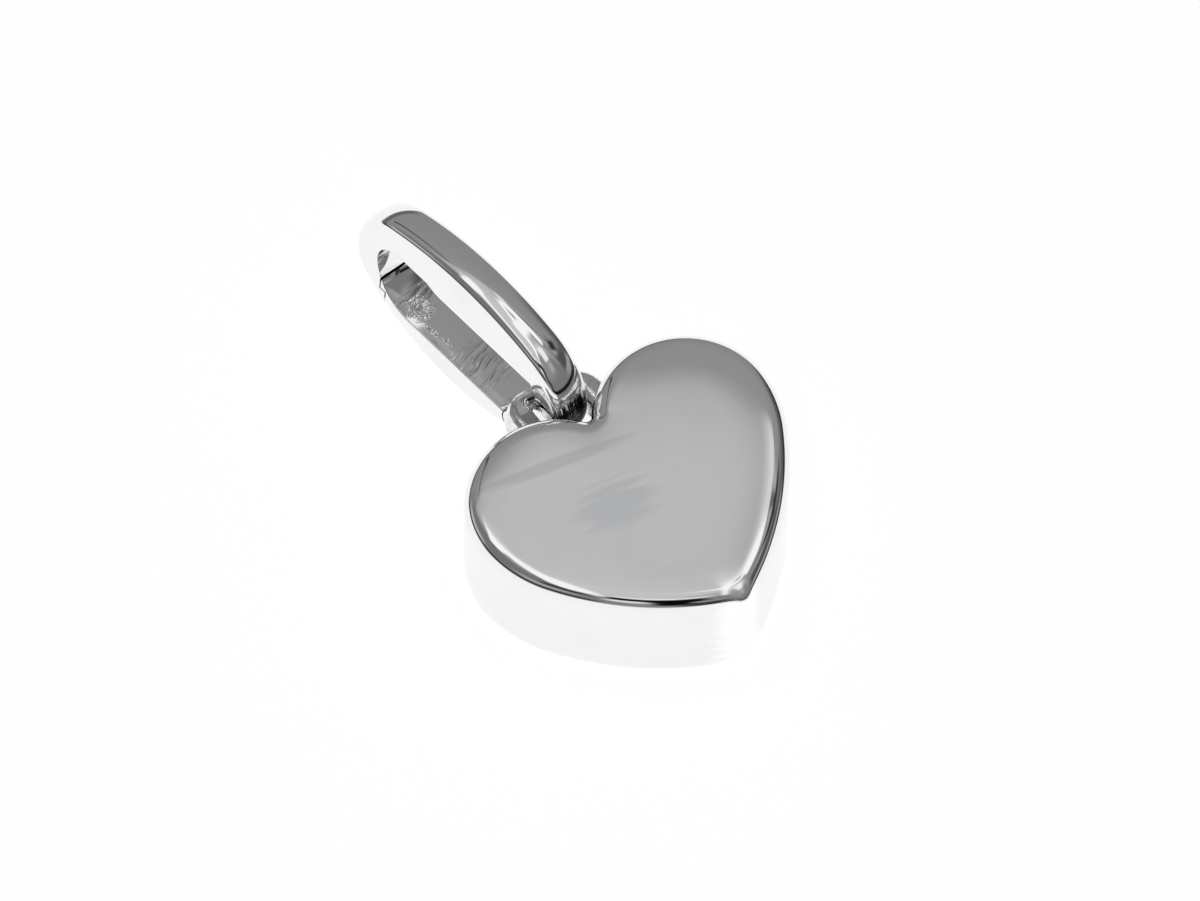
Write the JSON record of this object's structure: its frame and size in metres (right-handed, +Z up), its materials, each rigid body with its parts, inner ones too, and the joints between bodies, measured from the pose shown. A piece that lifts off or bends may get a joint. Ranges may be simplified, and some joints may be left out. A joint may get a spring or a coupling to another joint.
{
  "type": "heart pendant",
  "caption": "Thick polished heart pendant with a soldered eyelet in its cleft and an oval clip ring as bail, whose lower limb is a hinged gate.",
  "frame": {"origin": "middle of the heart's flat back, on the surface that the pendant lies on", "axes": "+X across the lobes, +Y from the heart's tip towards the bail, +Z up, out of the heart's front face"},
  "size_m": [0.0126, 0.0211, 0.0064],
  "materials": {
    "heart": "mirror polished silver with fine wear scratches",
    "bail_frame": "mirror polished silver, brushed inside",
    "gate": "mirror polished silver, brushed inside",
    "hinge_pin": "polished silver"
  },
  "bodies": {
    "pendant": {"heart": "heart", "bail_frame": "bail_frame", "hinge_pin": "hinge_pin"},
    "gate": {"gate": "gate"}
  },
  "joints": [
    {"name": "gate_hinge", "type": "hinge", "parent": "pendant", "child": "gate", "pos_m": [-0.00051, 0.00677, 0.00141], "axis": [0.986, 0.0915, -0.1392], "range_deg": [0, 16], "stiffness_Nm_per_rad": 0.00002, "springref_deg": -11.46}
  ]
}
